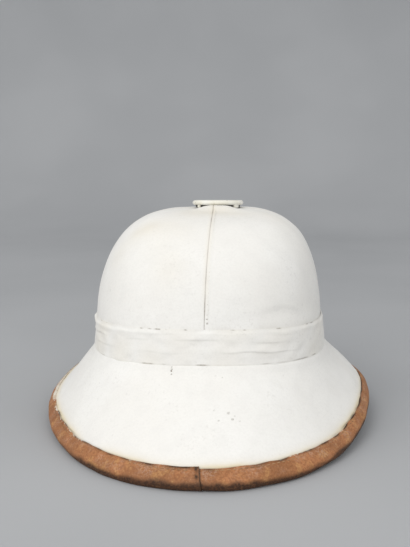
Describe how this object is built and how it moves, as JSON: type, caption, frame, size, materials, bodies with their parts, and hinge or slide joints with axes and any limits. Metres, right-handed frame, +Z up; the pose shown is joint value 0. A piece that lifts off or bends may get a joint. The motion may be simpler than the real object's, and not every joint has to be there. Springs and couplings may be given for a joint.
{
  "type": "pith helmet",
  "caption": "Pith helmet: hollow domed crown of sewn cloth with a pleated band round its foot, a sloping brim bound in leather, and a flat ventilator on top.",
  "frame": {"origin": "on the floor, in the middle of the brim's length and width", "axes": "+Z up; +Y from the deeper brim, where the binding's ends meet, to the shorter one; +X to the right seen from the deeper brim"},
  "size_m": [0.2775, 0.3638, 0.1805],
  "materials": {
    "painted_cloth": "whitewashed cotton, matt",
    "leather": "worn tan hide",
    "painted_metal": "white paint, satin",
    "pith": "plain moulded pith, matt"
  },
  "bodies": {
    "root": {"shell_crown_near": "pith", "shell_crown_far": "pith", "shell_brim": "pith", "crown_panel_near_right": "painted_cloth", "crown_panel_far_right": "painted_cloth", "crown_panel_far_left": "painted_cloth", "crown_panel_near_left": "painted_cloth", "brim_cover": "painted_cloth", "band": "painted_cloth", "edge_binding": "leather", "ventilator": "painted_metal"}
  },
  "joints": []
}
